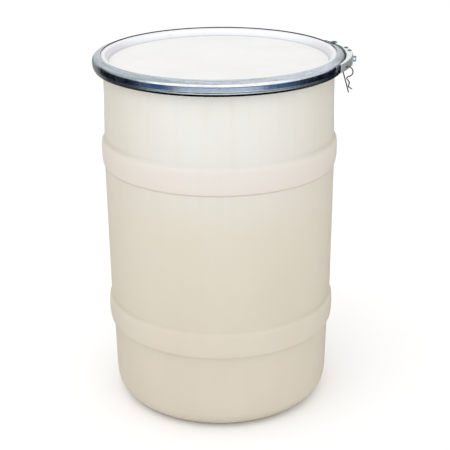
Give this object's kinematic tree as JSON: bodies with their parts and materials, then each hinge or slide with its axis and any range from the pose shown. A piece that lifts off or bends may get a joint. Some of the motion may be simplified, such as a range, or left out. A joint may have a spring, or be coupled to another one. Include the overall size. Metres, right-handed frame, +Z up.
{
  "type": "plastic open head drum",
  "caption": "Free-standing open-head plastic drum with rolling hoops, a recessed lift-off lid, and a steel closing ring shut by an over-centre lever with a safety clip.",
  "frame": {"origin": "centre of the flat pad under the drum, on the drum's own axis, at the floor", "axes": "+Z up along the drum's axis towards the lid, +X towards the latch, +Y completes a right-handed frame"},
  "size_m": [0.5319, 0.511, 0.7462],
  "materials": {
    "natural_hdpe": "satin, slightly translucent natural polyethylene",
    "lid_hdpe": "satin, off-white polyethylene",
    "gasket_rubber": "matte black foam rubber",
    "galvanised_band": "galvanised, lightly streaked and scuffed",
    "galvanised_bracket": "galvanised, satin",
    "zinc_lever": "bright zinc, satin",
    "rivet_steel": "bright zinc",
    "spring_wire": "plain spring wire"
  },
  "bodies": {
    "drum": {"drum_body": "natural_hdpe"},
    "cover": {"lid": "lid_hdpe", "lid_gasket": "gasket_rubber"},
    "ring": {"closing_ring": "galvanised_band", "fulcrum_bracket": "galvanised_bracket", "keeper_bracket": "galvanised_bracket", "locking_tab": "galvanised_bracket", "fulcrum_rivet_upper": "rivet_steel", "fulcrum_rivet_lower": "rivet_steel", "fulcrum_bracket_rivet_front": "rivet_steel", "fulcrum_bracket_rivet_rear": "rivet_steel", "keeper_bracket_rivet_front": "rivet_steel", "keeper_bracket_rivet_rear": "rivet_steel", "locking_tab_rivet_front": "rivet_steel", "locking_tab_rivet_rear": "rivet_steel"},
    "handle": {"lever": "zinc_lever", "link_rivet": "rivet_steel"},
    "strap": {"link": "galvanised_bracket", "link_cross_pin": "rivet_steel"},
    "clip": {"r_clip": "spring_wire"}
  },
  "joints": [
    {"name": "lid_lift", "type": "slide", "parent": "drum", "child": "cover", "axis": [0, 0, 1], "range_m": [0, 0.36]},
    {"name": "ring_lift", "type": "slide", "parent": "cover", "child": "ring", "axis": [0, 0, 1], "range_m": [0, 0.18]},
    {"name": "lever_swing", "type": "hinge", "parent": "ring", "child": "handle", "pos_m": [0.2616, 0.0391, 0.73025], "axis": [0, 0, 1], "range_deg": [0, 150]},
    {"name": "link_swing", "type": "hinge", "parent": "handle", "child": "strap", "pos_m": [0.26573, 0.01207, 0.73025], "axis": [0, 0, 1], "range_deg": [-150, 0]},
    {"name": "clip_swing", "type": "hinge", "parent": "handle", "child": "clip", "pos_m": [0.24779, -0.08775, 0.7318], "axis": [0.9426, -0.3338, 0], "range_deg": [-30, 30]}
  ],
  "couplings": [
    {"joint": "link_swing", "follows": "lever_swing", "ratio": -1}
  ]
}
